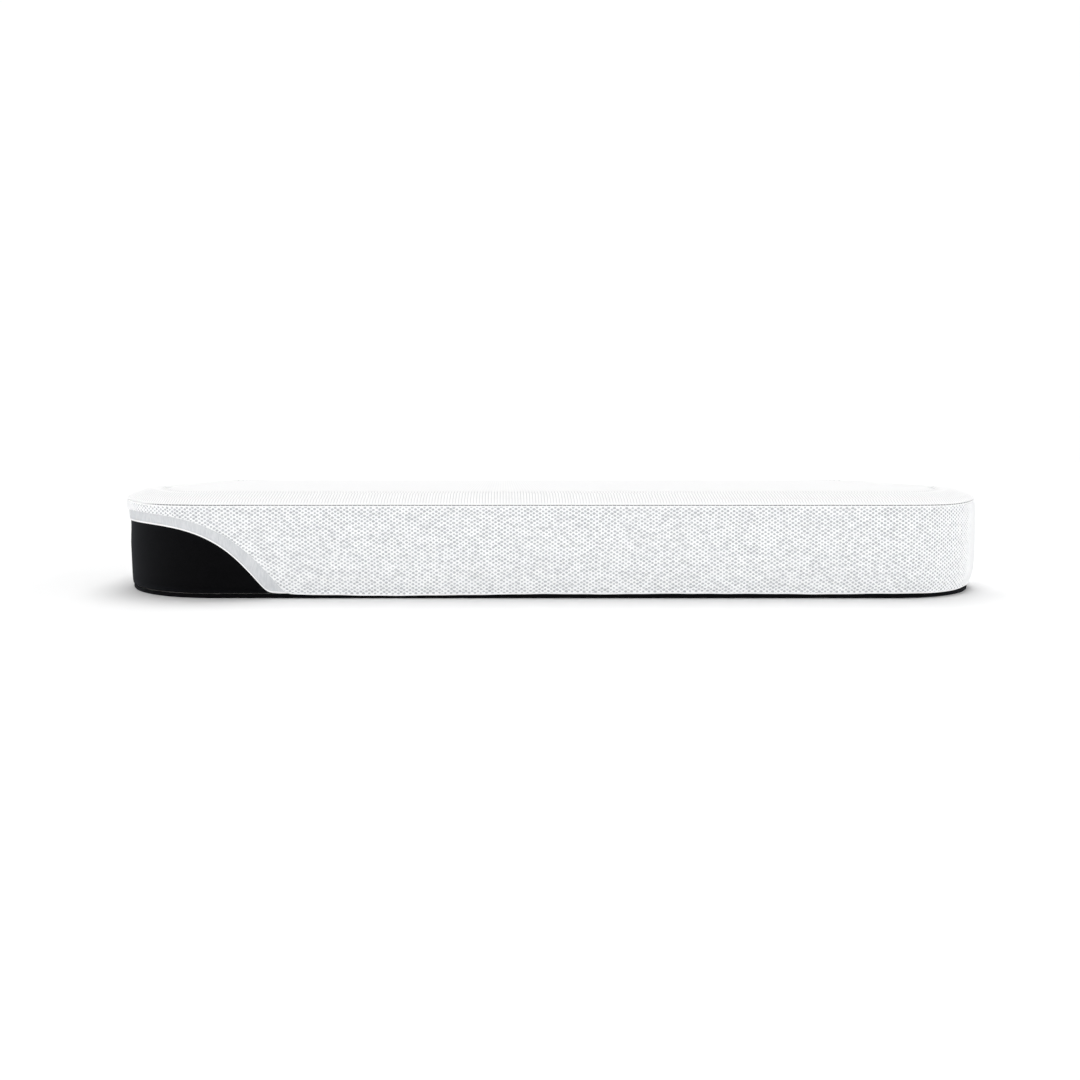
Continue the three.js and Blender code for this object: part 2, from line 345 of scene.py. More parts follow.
def border_edge(along):
    """Height of the border's lower edge, with the slight waves of an elastic hem."""
    drawn_up = lifted(along, BORDER_LIFT)
    towards_right = -1 + 2 * smooth(on_outline(along, 0, 0)[..., 0], *HEM_SLANT_OVER)
    unevenness = HEM_SLANT * towards_right + HEM_WAVE * waves(HEM_WAVES, along)
    return (HEM_HEIGHT + HEM_CLEARANCE + hem_raise(along) + drawn_up
            + unevenness * np.exp(-drawn_up / HEM_WAVE_FADE))


def fold_width(along):
    """The plain folded hem, which narrows to the cut edge that the tape covers."""
    return CUT_WIDTH + (FOLD_WIDTH - CUT_WIDTH) * np.exp(-lifted(along, BORDER_LIFT) / FOLD_FADE)


def border_top(along):
    """Height of the border's upper edge, just under the seam."""
    return SEAM_HEIGHT - SEAM_GAP + end_raise(along)


def border_face(along, height):
    """Inset of the border's outer face: full at mid height, drawn in at the seam and the hem."""
    top = border_top(along)
    upper = np.maximum(0, (height - BULGE_HEIGHT) / (top - BULGE_HEIGHT))
    lower = np.maximum(0, 1 - (height - border_edge(along)) / HEM_ROLL_HEIGHT)
    drawn_in = np.minimum(BORDER_TOP_INSET * upper ** 3 + BORDER_HEM_INSET * lower ** 2,
                          BORDER_HEM_INSET)
    drawn_up = smooth(lifted(along, BORDER_LIFT), 0, LIFTED_FULLY)
    drawn_in = drawn_in * (1 - drawn_up) + LIFTED_INSET * drawn_up
    return drawn_in - BORDER_BULGE * (1 - upper) * (1 - lower)


# ---- mesh building ----

class Piece:
    """Patches of points and faces that become one mesh object."""

    WELD_STEPS_PER_MM = 1000

    def __init__(self, name):
        self.name = name
        self.points = []
        self.faces = []
        self.count = 0

    def add(self, points, faces, material=0):
        """One patch, whose faces count their corners from its own first point."""
        self.points.append(points.reshape(-1, 3))
        self.faces.append((np.asarray(faces) + self.count, material))
        self.count += len(self.points[-1])

    def strip(self, rows, material=0, wrap_rows=False, wrap_columns=False):
        """Faces over a grid of points: rows[i, j] with i up the outside and j along it."""
        row_count, column_count = rows.shape[:2]
        row_end = row_count if wrap_rows else row_count - 1
        column_end = column_count if wrap_columns else column_count - 1
        row, column = np.meshgrid(np.arange(row_end), np.arange(column_end), indexing="ij")
        above = (row + 1) % row_count * column_count
        after = (column + 1) % column_count
        here = row * column_count
        faces = np.stack([here + column, above + column, above + after, here + after], axis=-1)
        self.add(rows, faces.reshape(-1, 4), material)

    def middles(self):
        """The middle of each face of the patch added last."""
        faces = self.faces[-1][0]
        return np.concatenate(self.points)[faces].mean(axis=1)

    def paint(self, chosen, material):
        """Give the chosen faces of the patch added last another material."""
        faces, old = self.faces.pop()
        self.faces += [(faces[~chosen], old), (faces[chosen], material)]

    def cap(self, loop, material=0):
        """One face over a loop of points."""
        self.add(loop, [list(range(len(loop)))], material)

    def welded(self):
        """Points, face sizes, face corners and material slots, with doubled points joined."""
        points = np.concatenate(self.points)
        _, first, merged = np.unique(
            np.round(points * self.WELD_STEPS_PER_MM).astype(np.int64), axis=0,
            return_index=True, return_inverse=True)
        merged = merged.reshape(-1)
        sizes, corners, slots = [], [], []
        for faces, slot in self.faces:
            faces = merged[faces]
            ordered = np.sort(faces, axis=1)
            sound = np.all(ordered[:, 1:] != ordered[:, :-1], axis=1)
            sizes.append(np.full(sound.sum(), faces.shape[1]))
            corners.append(faces[sound].reshape(-1))
            slots.append(np.full(sound.sum(), slot))
            narrowed = [without_repeats(face) for face in faces[~sound].tolist()]
            narrowed = [face for face in narrowed if face]
            sizes.append(np.array([len(face) for face in narrowed], int))
            corners.append(np.array([corner for face in narrowed for corner in face], int))
            slots.append(np.full(len(narrowed), slot))
        return (points[first], np.concatenate(sizes), np.concatenate(corners),
                np.concatenate(slots))

    def build(self, materials, body, replaced=()):
        """The finished object, riding on its body."""
        points, sizes, corners, slots = self.welded()
        mesh = mesh_from(self.name, points * MM, sizes, corners, slots)
        thing = bpy.data.objects.new(self.name, mesh)
        bpy.context.scene.collection.objects.link(thing)
        for material in materials:
            mesh.materials.append(material)
        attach(thing, body)
        if replaced:
            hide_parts(*replaced)
        return thing


def without_repeats(face):
    """A face without its doubled corners, or None where nothing is left of it."""
    kept = [corner for place, corner in enumerate(face) if corner != face[place - 1]]
    return kept if len(kept) >= 3 and len(set(kept)) == len(kept) else None


def mesh_from(name, points, sizes, corners, slots):
    """A smooth-shaded mesh from its points, face sizes, face corners and material slots."""
    mesh = bpy.data.meshes.new(name)
    mesh.vertices.add(len(points))
    mesh.vertices.foreach_set("co", points.astype(np.float32).ravel())
    mesh.loops.add(len(corners))
    mesh.loops.foreach_set("vertex_index", corners.astype(np.int32))
    mesh.polygons.add(len(sizes))
    mesh.polygons.foreach_set("loop_start", (np.cumsum(sizes) - sizes).astype(np.int32))
    mesh.polygons.foreach_set("material_index", slots.astype(np.int32))
    mesh.polygons.foreach_set("use_smooth", np.ones(len(sizes), bool))
    mesh.update(calc_edges=True)
    mesh.validate()
    return mesh


def stations(start, end, step):
    """Distances along the outline from start to end, about step apart."""
    return np.linspace(start, end, max(2, round((end - start) / step)) + 1)


def all_round(step):
    """Distances right round the outline, about step apart, without the last."""
    return stations(0, PERIMETER, step)[:-1]


def ring(profile, along):
    """Rows of points for a profile of [inset, height] pairs carried round the outline."""
    return np.stack([on_outline(along, inset, height) for inset, height in profile])


def arc(inset, height, radius, start, end, steps):
    """[inset, height] pairs round an arc; 0 degrees points outwards and 90 points up."""
    angles = np.radians(np.linspace(start, end, steps + 1))
    return [(inset - radius * math.cos(a), height + radius * math.sin(a)) for a in angles]


def thread(piece, paths, radius, sides=6, material=0):
    """Short round threads: paths is (threads, points, 3), and each tapers at both ends."""
    count = paths.shape[1]
    ahead = np.gradient(paths, axis=1)
    ahead /= np.linalg.norm(ahead, axis=-1, keepdims=True)
    across = np.cross(ahead, (0, 0, 1))
    across /= np.linalg.norm(across, axis=-1, keepdims=True)
    up = np.cross(across, ahead)
    ends = np.sin(np.pi * (np.arange(count) + 0.35) / (count - 0.3)) ** 0.5
    for side in range(sides):
        turn = [2 * math.pi * (side + extra) / sides for extra in (0, 1)]
        edges = [
            paths + (radius * ends)[:, None] * (across * math.cos(t) + up * math.sin(t))
            for t in turn
        ]
        for step in range(count - 1):
            quads = np.stack([edges[0][:, step], edges[1][:, step],
                              edges[1][:, step + 1], edges[0][:, step + 1]], axis=1)
            piece.add(quads, np.arange(len(quads) * 4).reshape(-1, 4), material)
    for step, order in ((0, -1), (count - 1, 1)):
        turn = 2 * np.pi * np.arange(sides)[::order] / sides
        loops = np.stack([
            paths[:, step] + radius * ends[step] * (across[:, step] * math.cos(t)
                                                    + up[:, step] * math.sin(t))
            for t in turn
        ], axis=1)
        piece.add(loops, np.arange(len(loops) * sides).reshape(-1, sides), material)


# ---- materials ----

def plain_material(name, colour, roughness, specular=0.3, sheen=0.0):
    """A plain cloth shader, to which a pattern is then added."""
    made = bpy.data.materials.new(name)
    made.use_nodes = True
    shader = made.node_tree.nodes["Principled BSDF"]
    shader.inputs["Base Color"].default_value = (*colour, 1)
    shader.inputs["Roughness"].default_value = roughness
    shader.inputs["Specular IOR Level"].default_value = specular
    shader.inputs["Sheen Weight"].default_value = sheen
    return made


def add_node(made, kind, **values):
    """A shader node with some of its inputs, or else its settings, given values."""
    node = made.node_tree.nodes.new(kind)
    for key, value in values.items():
        if key in node.inputs:
            node.inputs[key].default_value = value
        else:
            setattr(node, key, value)
    return node


def placed(made, stretch=(1, 1, 1)):
    """Coordinates fixed to the piece. A stretch below 1 makes a pattern longer along that axis."""
    where = add_node(made, "ShaderNodeTexCoord")
    mapping = add_node(made, "ShaderNodeMapping")
    mapping.inputs["Scale"].default_value = stretch
    made.node_tree.links.new(where.outputs["Object"], mapping.inputs["Vector"])
    return mapping.outputs["Vector"]


def noise(made, size, detail=3, stretch=(1, 1, 1)):
    """Noise whose features are about size millimetres across before they are stretched."""
    node = add_node(made, "ShaderNodeTexNoise", Scale=1 / (size * MM), Detail=detail)
    made.node_tree.links.new(placed(made, stretch), node.inputs["Vector"])
    return node.outputs["Fac"]


def cells(made, size, randomness=1.0):
    """Distance from the nearest of many points about size millimetres apart."""
    node = add_node(made, "ShaderNodeTexVoronoi", Scale=1 / (size * MM), Randomness=randomness)
    made.node_tree.links.new(placed(made), node.inputs["Vector"])
    return node.outputs["Distance"]


def bands(made, size, direction, distortion=0.6, phase=0.0):
    """Rows size millimetres apart across a direction."""
    node = add_node(made, "ShaderNodeTexWave", bands_direction=direction,
                    Scale=WAVE_PERIOD / (size * MM), Distortion=distortion)
    node.inputs["Phase Offset"].default_value = phase
    node.inputs["Detail Scale"].default_value = 2
    made.node_tree.links.new(placed(made), node.inputs["Vector"])
    return node.outputs["Fac"]


def shade(made, pattern, dark, light, low=0.35, high=0.65):
    """Colour the material from dark to light by a pattern."""
    ramp = add_node(made, "ShaderNodeValToRGB")
    ramp.color_ramp.elements[0].position = low
    ramp.color_ramp.elements[0].color = (*dark, 1)
    ramp.color_ramp.elements[1].position = high
    ramp.color_ramp.elements[1].color = (*light, 1)
    made.node_tree.links.new(pattern, ramp.inputs["Fac"])
    shader = made.node_tree.nodes["Principled BSDF"]
    made.node_tree.links.new(ramp.outputs["Color"], shader.inputs["Base Color"])


def raise_by(made, pattern, height, strength=0.6):
    """Raise the surface by a pattern, height millimetres, over what is raised already."""
    bump = add_node(made, "ShaderNodeBump", Strength=strength, Distance=height * MM)
    made.node_tree.links.new(pattern, bump.inputs["Height"])
    normal = made.node_tree.nodes["Principled BSDF"].inputs["Normal"]
    if normal.is_linked:
        made.node_tree.links.new(normal.links[0].from_socket, bump.inputs["Normal"])
    made.node_tree.links.new(bump.outputs["Normal"], normal)


def roughen(made, pattern, smoothest, roughest):
    """Vary the roughness by a pattern."""
    spread = add_node(made, "ShaderNodeMapRange")
    spread.inputs["To Min"].default_value = smoothest
    spread.inputs["To Max"].default_value = roughest
    made.node_tree.links.new(pattern, spread.inputs["Value"])
    shader = made.node_tree.nodes["Principled BSDF"]
    made.node_tree.links.new(spread.outputs["Result"], shader.inputs["Roughness"])


def knit_cloth(name, ribbed):
    """White rib knit in fine rows of loops, with painted shade darkening the valleys between its
    ribs.
    """
    made = plain_material(name, (0.9, 0.9, 0.9), 0.9, specular=0.1)
    ribs = bands(made, RIB_PITCH, "X", 0, math.pi)
    # Painted shade in the rib valleys: deep where ribbed (the rolled edge), faint on the field.
    if ribbed:
        shade(made, ribs, (0.66, 0.66, 0.67), (0.9, 0.9, 0.9), 0.0, 0.3)
    else:
        shade(made, ribs, (0.85, 0.85, 0.855), (0.888, 0.888, 0.888), 0.0, 0.5)
    raise_by(made, bands(made, 1.25, "Y"), 0.12)
    raise_by(made, noise(made, 0.7), 0.1, 0.4)
    roughen(made, noise(made, 5), 0.8, 0.95)
    return made


def mesh_strand():
    """The mesh's strands: bundles of fine bright filaments."""
    made = plain_material("mesh_strand", (0.93, 0.935, 0.945), 0.7, sheen=0.1)
    shade(made, noise(made, 9), (0.905, 0.91, 0.925), (0.945, 0.95, 0.955))
    raise_by(made, bands(made, 0.55, "DIAGONAL", 2), 0.08, 0.4)
    roughen(made, noise(made, 2), 0.6, 0.85)
    return made


def mesh_hole():
    """What shows at the bottom of a hole: the spacer yarns and the back layer in shade."""
    made = plain_material("mesh_hole", (0.48, 0.49, 0.51), 0.9, specular=0.1)
    shade(made, noise(made, 1.6), (0.42, 0.43, 0.45), (0.55, 0.56, 0.58))
    return made


def mesh_plain():
    """The mesh's smooth inner layer and its folded edges."""
    made = plain_material("mesh_plain", (0.93, 0.935, 0.94), 0.8)
    shade(made, noise(made, 7), (0.91, 0.915, 0.92), (0.945, 0.95, 0.95))
    raise_by(made, cells(made, 1.5, 0.3), 0.12, 0.5)
    return made


def elastic_tape():
    """Grey-white woven elastic."""
    made = plain_material("elastic_tape", (0.62, 0.63, 0.65), 0.65)
    shade(made, noise(made, 1.1, stretch=(1, 1, 0.15)), (0.54, 0.555, 0.575), (0.65, 0.66, 0.675))
    raise_by(made, bands(made, 0.9, "Z", 0.3), 0.08, 0.5)
    return made


def tape_binding():
    """The tape's pale bound edge."""
    made = plain_material("tape_binding", (0.93, 0.93, 0.93), 0.7)
    shade(made, noise(made, 2), (0.9, 0.9, 0.9), (0.95, 0.95, 0.95))
    raise_by(made, noise(made, 0.6), 0.08, 0.4)
    return made


def liner_cloth():
    """Black knitted liner with a faint cool sheen and very fine lighter specks."""
    made = plain_material("liner_cloth", (0.002, 0.002, 0.003), 0.8, specular=0.05, sheen=0.028)
    shader = made.node_tree.nodes["Principled BSDF"]
    shader.inputs["Sheen Tint"].default_value = (0.7, 0.8, 1, 1)
    darkest, lightest = (0.0005, 0.0005, 0.0007), (0.0032, 0.003, 0.0036)
    shade(made, noise(made, 1.4, 4), darkest, lightest, 0.42, 0.75)
    raise_by(made, bands(made, 0.8, "Z", 0.5), 0.1, 0.4)
    raise_by(made, noise(made, 0.9), 0.1, 0.4)
    return made


def liner_thread():
    """Black sewing cord, a little lighter than the liner."""
    made = plain_material("liner_thread", (0.005, 0.005, 0.006), 0.7, specular=0.1)
    shade(made, noise(made, 1.2), (0.003, 0.003, 0.0035), (0.009, 0.009, 0.01))
    raise_by(made, bands(made, 0.8, "DIAGONAL", 0.2), 0.1)
    return made


def foam(name, dark, light, cell):
    """Open-cell foam: small pits, with larger soft patches of tone."""
    made = plain_material(name, light, 0.95, specular=0.1)
    shade(made, noise(made, 22, 4), dark, light)
    raise_by(made, cells(made, cell), 0.4, 0.8)
    return made


def wadding_fibre():
    """Loose white polyester fibre."""
    made = plain_material("wadding_fibre", (0.95, 0.95, 0.95), 1, specular=0.05, sheen=0.3)
    shade(made, noise(made, 12, 6), (0.88, 0.88, 0.88), (0.96, 0.96, 0.96))
    raise_by(made, noise(made, 2, 8, (0.2, 1, 1)), 0.8, 0.7)
    return made


def non_woven():
    """Non-woven backing with its even grid of embossed dots."""
    made = plain_material("non_woven", (0.88, 0.88, 0.88), 0.85, specular=0.15)
    shade(made, noise(made, 4, 6), (0.83, 0.83, 0.83), (0.91, 0.91, 0.91))
    raise_by(made, cells(made, 2.2, randomness=0), 0.25, 0.8)
    return made


def sewing_thread(name, colour):
    """Sewing thread of one colour, with slightly paler flecks."""
    made = plain_material(name, colour, 0.55)
    paler = tuple(min(1, channel * 1.15) for channel in colour)
    shade(made, noise(made, 0.8), colour, paler)
    return made


def white_floor():
    """A plain white floor."""
    made = plain_material("white_floor", (0.96, 0.96, 0.96), 0.95, specular=0)
    shade(made, noise(made, 60), (0.958, 0.958, 0.958), (0.962, 0.962, 0.962))
    return made


# ---- spacer-mesh border ----

def net(piece, start, end, seed):
    """The open outer face of the mesh: staggered six-sided cells, each round a sunk hole."""
    columns = np.arange(math.floor(start / NET_PITCH) - 1, math.ceil(end / NET_PITCH) + 2)
    rows = np.arange(math.ceil((SEAM_HEIGHT + END_RAISE) / NET_ROW) + 2)
    column, row = (axis.reshape(-1, 1) for axis in np.meshgrid(columns, rows, indexing="ij"))
    centre_along = (column + 0.5 * (row % 2)) * NET_PITCH
    centre_height = row * NET_ROW
    points = np.array([NET_POINT, NET_FLAT, -NET_FLAT, -NET_POINT, -NET_FLAT, NET_FLAT])
    levels = np.array([0, 1, 1, 0, -1, -1])
    hole_points = np.array([HOLE_POINT, HOLE_FLAT, -HOLE_FLAT, -HOLE_POINT, -HOLE_FLAT, HOLE_FLAT])
    random = np.random.default_rng(seed)
    size = random.uniform(*HOLE_SIZES, (len(column), 1))
    drift = random.uniform(-HOLE_DRIFT, HOLE_DRIFT, (2, len(column), 1))
    rim = np.stack([centre_along + points, centre_height + NET_ROW * levels], axis=-1)
    hole = np.stack([centre_along + drift[0] + size * hole_points,
                     centre_height + drift[1] + size * HOLE_HALF_HEIGHT * levels], axis=-1)
    ring_points = settle(rim, start, end)
    hole_floor = settle(hole, start, end)
    used = face_area(ring_points) > SMALLEST_CELL_AREA
    ring_points, hole_floor = ring_points[used], hole_floor[used]
    outer = net_surface(ring_points, np.zeros(ring_points.shape[:2]))
    sunk = HOLE_DEPTH * smooth(edge_distance(hole_floor), 0, HOLE_DEEPENS_OVER)
    inner = net_surface(hole_floor, sunk)
    for side in range(6):
        after = (side + 1) % 6
        flat = np.stack([ring_points[:, side], ring_points[:, after],
                         hole_floor[:, after], hole_floor[:, side]], axis=1)
        solid = np.stack([outer[:, side], outer[:, after], inner[:, after], inner[:, side]], axis=1)
        solid = solid[face_area(flat) > SMALLEST_FACE_AREA]
        piece.add(solid, np.arange(len(solid) * 4).reshape(-1, 4)[:, ::-1], 0)
    floors = inner[face_area(hole_floor) > SMALLEST_CELL_AREA]
    piece.add(floors, np.arange(len(floors) * 6).reshape(-1, 6)[:, ::-1], 1)


def settle(flat, start, end):
    """Net corners pulled a little out of true, and held inside the border's plain margins."""
    along, height = flat[..., 0], flat[..., 1]
    along = along + waves(NET_PULLED_ALONG, along, height)
    height = height + waves(NET_PULLED_UP, along, height)
    along = np.clip(along, start, end)
    low = border_edge(along) + fold_width(along)
    high = np.maximum(border_top(along) - NET_MARGIN, low)
    return np.stack([along, np.clip(height, low, high)], axis=-1)


def edge_distance(flat):
    """How far net corners are from the border's plain margins."""
    along, height = flat[..., 0], flat[..., 1]
    above = height - border_edge(along) - fold_width(along)
    below = border_top(along) - NET_MARGIN - height
    return np.minimum(above, below)


def face_area(flat):
    """Area of each polygon laid out flat: flat is (faces, corners, 2)."""
    following = np.roll(flat, -1, axis=1)
    cross = flat[..., 0] * following[..., 1] - flat[..., 1] * following[..., 0]
    return np.abs(cross.sum(axis=1)) / 2


def net_surface(flat, depth):
    """Points of the net in space, sunk by depth but never through the border's inner layer."""
    along, height = flat[..., 0], flat[..., 1]
    face = border_face(along, height)
    deepest = np.maximum(BORDER_INNER_INSET - HOLE_CLEARANCE - face, 0)
    return on_outline(along, face + np.minimum(depth, deepest), height)


def border_back(piece, start, end):
    """The border's plain parts: the turned-in top, the smooth inner layer and the folded hem."""
    along = stations(start, end, BORDER_STEP)
    low, high = border_edge(along), border_top(along)
    net_low, net_high = low + fold_width(along), high - NET_MARGIN
    inner = BORDER_INNER_INSET
    profile = [
        (border_face(along, net_high), net_high),
        (border_face(along, high - TURNED_IN) + 0.15, high - TURNED_IN),
        (border_face(along, high) + 0.6, high),
        (inner + 1, high),
    ]
    for share in BACK_SHARES:
        inset = inner + BACK_LEANS_IN * smooth(share, 0.8, 1)
        profile.append((inset, low + share * (high - low)))
    fold = net_low - low
    hem_face, net_face = border_face(along, low), border_face(along, net_low)
    rounded_fold = [
        (inner - 0.1, 0.35),
        (inner - 0.25, 0.1),
        ((inner + hem_face) / 2, 0),
        (hem_face + 0.2, 0.1),
        (hem_face - 0.15, 0.4),
        (net_face - 0.1, 0.7),
    ]
    profile += [(inset, low + share * fold) for inset, share in rounded_fold]
    profile.append((net_face, net_low))
    rows = ring(profile, along)
    piece.strip(rows, 2)
    piece.cap(rows[:, 0], 2)
    piece.cap(rows[::-1, -1], 2)


def spacer_mesh(name, start, end, seed, node):
    """One strip of the border. It was cut straight, and its lower edge is folded in."""
    piece = Piece(name)
    net(piece, start, end, seed)
    border_back(piece, start, end)
    made = piece.build([STRAND, HOLE, PLAIN], "cover", [node])
    return made


# ---- hem tape ----

def hem_tape():
    """Woven elastic with ribs across it and a pale bound lower edge."""
    lift_start = TAPE_LIFT["start"] - TAPE_RIBS_BEYOND
    lift_end = 2 * LIFT_PEAK - lift_start
    fine = stations(lift_start, lift_end, TAPE_RIB / TAPE_RIB_STEPS)
    coarse = stations(lift_end, lift_start + PERIMETER, TAPE_STEP)[1:-1]
    along = np.concatenate([fine, coarse])
    past_lift = np.abs(along - LIFT_PEAK) - (LIFT_PEAK - TAPE_LIFT["start"])
    tucked_up = TAPE_TUCK * smooth(past_lift, *TAPE_TUCKS_OVER)
    bottom = (HEM_HEIGHT + TAPE_HEM_GAP + tucked_up + hem_raise(along)
              + lifted(along, TAPE_LIFT))
    top = np.maximum(bottom + TAPE_WIDTH, border_edge(along) + TAPE_LAP)
    rib = TAPE_RIB_HEIGHT * np.cos(2 * math.pi * along / TAPE_RIB)
    rib[len(fine):] = 0
    bound = bottom + TAPE_BINDING
    binding = [
        (TAPE_INNER, bound),
        (TAPE_INNER, bottom + 0.4),
        ((TAPE_OUTER + TAPE_INNER) / 2, bottom),
        (TAPE_OUTER - 0.35, bottom + 0.3),
        (TAPE_OUTER - 0.45, bottom + 1.1),
        (TAPE_OUTER - 0.35, bound - 0.2),
        (TAPE_OUTER + TAPE_BACK, bound),
    ]
    web = []
    for share in np.linspace(0, 1, TAPE_ROWS):
        swell = TAPE_SWELL * math.sin(math.pi * share)
        inset = TAPE_OUTER + TAPE_BACK - swell + rib * (share > 0)
        web.append((inset, bound + share * (top - bound)))
    web += [(TAPE_INNER, top), (TAPE_INNER, (top + bound) / 2), (TAPE_INNER, bound)]
    piece = Piece("elastic_hem_tape")
    piece.strip(ring(binding, along), 1, wrap_columns=True)
    piece.strip(ring(web, along), 0, wrap_columns=True)
    made = piece.build([TAPE, BINDING], "cover", ["hem_tape"])
    return made


# ---- quilted top ----

def quilt_rows():
    """Insets of the rows that follow the edge, close together at the lip and the quilting."""
    lip = [TOP_EDGE_INSET, 3.6, 4.4, 5.4, 7, 10, 14, 19, 25, 32, 39, 44.5]
    quilting = [QUILT_LINE + offset for offset in (-3.5, -2, -0.9, 0, 0.9, 2, 3.5)]
    return np.array(lip + quilting + [QUILT_LINE + 9])


def panel_plan(columns):
    """Plan of the top as (rows, columns) of x and y: rows follow the edge, then cross the field."""
    insets = quilt_rows()[:, None]
    over = np.maximum(np.abs(columns) - HALF_FRONT, 0)[None, :]
    reach = np.sqrt(np.maximum((CORNER_RADIUS - insets) ** 2 - over ** 2, 0))
    near_edge = HALF_SIDE + reach
    field = np.linspace(-1, 1, FIELD_ROWS + 2)[1:-1, None] * near_edge[-1]
    y = np.concatenate([-near_edge, field, near_edge[::-1]])
    return np.broadcast_to(columns, y.shape), y


def panel_height(x, y):
    """The quilted top before it swells: a rolled edge, a sewn line and a nearly level field."""
    inset = inset_of(x, y)
    share = np.clip((inset - TOP_EDGE_INSET) / (QUILT_LINE - TOP_EDGE_INSET), 0, 1)
    rolled = np.sin(share * math.pi / 2) ** ROLL_FULLNESS
    height = TOP_EDGE_HEIGHT + (CREST - TOP_EDGE_HEIGHT) * rolled
    height -= QUILT_DIP * np.exp(-((inset - QUILT_LINE) / QUILT_DIP_WIDTH) ** 2)
    height -= FIELD_DROP * smooth(inset, QUILT_LINE, QUILT_LINE + FIELD_DROP_WIDTH)
    return height + end_raise_at(x, y)


def swelling():
    """How far cloth simulation puffs the top between its sewn lines: heights by inset."""
    x, y = panel_plan(np.linspace(-HALF_LENGTH, HALF_LENGTH, SWELL_COLUMNS + 2)[1:-1])
    patch = Piece("swelling")
    patch.strip(np.stack([x, y, panel_height(x, y)], axis=-1)[::-1])
    points, sizes, corners, slots = patch.welded()
    mesh = mesh_from(patch.name, points * MM, sizes, corners, slots)
    thing = bpy.data.objects.new(patch.name, mesh)
    bpy.context.scene.collection.objects.link(thing)
    inset = inset_of(points[:, 0], points[:, 1])
    sewn = (np.abs(inset - QUILT_LINE) < 0.5) | (inset < LIP_WIDTH)
    group = thing.vertex_groups.new(name="sewn")
    group.add(np.flatnonzero(sewn).tolist(), 1, "REPLACE")
    cloth = thing.modifiers.new("cloth", "CLOTH").settings
    cloth.quality = 6
    cloth.mass = 0.2
    cloth.bending_stiffness = 2
    cloth.vertex_group_mass = "sewn"
    cloth.use_pressure = True
    cloth.uniform_pressure_force = 4
    cloth.effector_weights.gravity = 0
    for step in range(1, SWELL_STEPS + 1):
        bpy.context.scene.frame_set(step)
    shown = thing.evaluated_get(bpy.context.evaluated_depsgraph_get())
    moved = np.zeros(points.size)
    shown.data.vertices.foreach_get("co", moved)
    risen = moved.reshape(-1, 3)[:, 2] / MM - points[:, 2]
    bpy.context.scene.frame_set(1)
    bpy.data.objects.remove(thing)
    bpy.data.meshes.remove(mesh)
    rows = np.append(quilt_rows(), FIELD_INSETS)
    nearest = np.abs(inset[:, None] - rows).argmin(axis=1)
    mean = np.array([risen[nearest == row].mean() for row in range(len(rows))])
    return rows, SWELL_LIMIT * np.tanh(np.maximum(mean, 0) / SWELL_LIMIT)


def quilted_top():
    """The ribbed knit top, swollen by simulation, with its folded lip at the edge."""
    half = HALF_LENGTH - TOP_EDGE_INSET
    steps = round(half / RIB_PITCH * RIB_STEPS)
    columns = np.arange(-steps, steps + 1) * RIB_PITCH / RIB_STEPS
    x, y = panel_plan(columns)
    z = panel_height(x, y)
    inset = inset_of(x, y)
    z = z + np.interp(inset, *swelling())
    ribs = RIB_HEIGHT * smooth(inset, *RIBS_START)
    ribs = ribs * (1 - smooth(inset, QUILT_LINE - 1.5, QUILT_LINE - 0.5))
    ribs = ribs + FIELD_RIB_HEIGHT * smooth(inset, QUILT_LINE + 1, QUILT_LINE + 3)
    valley = 0.5 - 0.5 * np.cos(2 * math.pi * x / RIB_PITCH)
    z = z - ribs * valley ** RIB_SHARPNESS
    piece = Piece("quilted_top_knit")
    piece.strip(np.stack([x, y, z], axis=-1)[::-1])
    # The rolled edge takes the knit with deep painted shade in its rib valleys.
    rolled = inset_of(*np.moveaxis(piece.middles()[:, :2], -1, 0)) < QUILT_LINE
    piece.paint(rolled, 1)
    along = all_round(LIP_STEP)
    turned = np.degrees((along - HALF_FRONT) / CORNER_RADIUS)
    closed = SEAM_CLOSES * smooth(turned, *CLOSES_OVER) * (1 - smooth(turned, *OPENS_OVER))
    lip = [
        (inset, height + end_raise(along) - closed * (height < SEAM_HEIGHT + 1))
        for inset, height in LIP_PROFILE
    ]
    piece.strip(ring(lip, along), wrap_columns=True)
    made = piece.build([KNIT, DEEP_RIB_SHADE_KNIT], "cover", ["top_panel"])
    return made


def stitch_starts(length, pitch):
    """Where the stitches of a seam of some length start, as distances along the outline."""
    count = round(length / pitch)
    return np.arange(count) * PERIMETER / count


def quilting_stitches():
    """Sewing thread along the quilting line, sunk in its dip, coloured grey as painted shade of the
    dip.
    """
    starts = stitch_starts(PERIMETER - 2 * math.pi * QUILT_LINE, QUILT_STITCH["pitch"])
    share = np.linspace(0, 1, STITCH_POINTS)
    along = starts[:, None] + share * QUILT_STITCH["length"]
    path = on_outline(along, QUILT_LINE, 0)
    sink = QUILT_STITCH["sink"] * (2 * share - 1) ** 2
    path[..., 2] = panel_height(path[..., 0], path[..., 1]) + QUILT_STITCH["proud"] - sink
    piece = Piece("quilting_stitches")
    thread(piece, path, QUILT_STITCH["radius"])
    return piece.build([SHADED_QUILT_THREAD], "cover")


